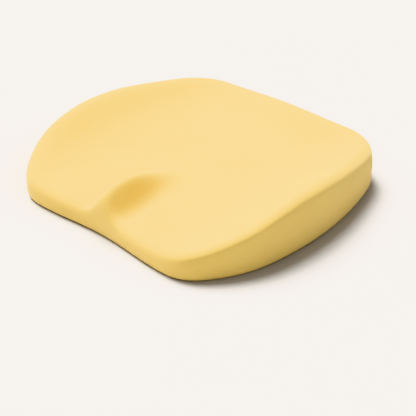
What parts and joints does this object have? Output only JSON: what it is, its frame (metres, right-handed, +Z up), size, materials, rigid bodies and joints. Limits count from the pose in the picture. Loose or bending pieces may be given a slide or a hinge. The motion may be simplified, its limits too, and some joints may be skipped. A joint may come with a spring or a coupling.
{
  "type": "seat cushion",
  "caption": "Contoured foam seat cushion with a raised front pommel, thigh channels and a dished seat, in a zipped knit cover with a grip base.",
  "frame": {"origin": "middle of the underside, on the surface the cushion stands on", "axes": "+X is the sitter's width, -Y is the front edge with the pommel, +Y is the rear edge with the zip, +Z is up"},
  "size_m": [0.469, 0.437, 0.082],
  "materials": {
    "cover_knit": "soft matte fine knit",
    "grip_fabric": "woven backing with silicone grip dots",
    "foam": "open-cell memory foam",
    "liner_cloth": "thin white mesh",
    "elastic": "covered elastic",
    "thread": "polyester thread",
    "zip_tape": "woven tape",
    "zip_coil": "nylon coil",
    "zip_metal": "nickel plate",
    "label": "plain satin"
  },
  "bodies": {
    "cushion": {"foam_core": "foam", "inner_liner": "liner_cloth", "liner_elastic": "elastic", "cover_shell": "cover_knit", "base_panel": "grip_fabric", "base_seam_thread": "thread", "care_label": "label", "zipper_tape_upper": "zip_tape", "zipper_tape_lower": "zip_tape", "zipper_coil_upper": "zip_coil", "zipper_coil_lower": "zip_coil", "zipper_top_stop_upper": "zip_metal", "zipper_top_stop_lower": "zip_metal", "zipper_bottom_stop": "zip_metal", "zipper_stitch_upper": "thread", "zipper_stitch_lower": "thread"},
    "slider": {"slider_body": "zip_metal"},
    "tab": {"pull_tab": "zip_metal"}
  },
  "joints": [
    {"name": "zip_travel", "type": "slide", "parent": "cushion", "child": "slider", "axis": [1, 0, 0], "range_m": [0, 0.211]},
    {"name": "tab_swing", "type": "hinge", "parent": "slider", "child": "tab", "pos_m": [-0.1055, 0.2172, 0.019], "axis": [0, 0, 1], "range_deg": [0, 180]}
  ]
}
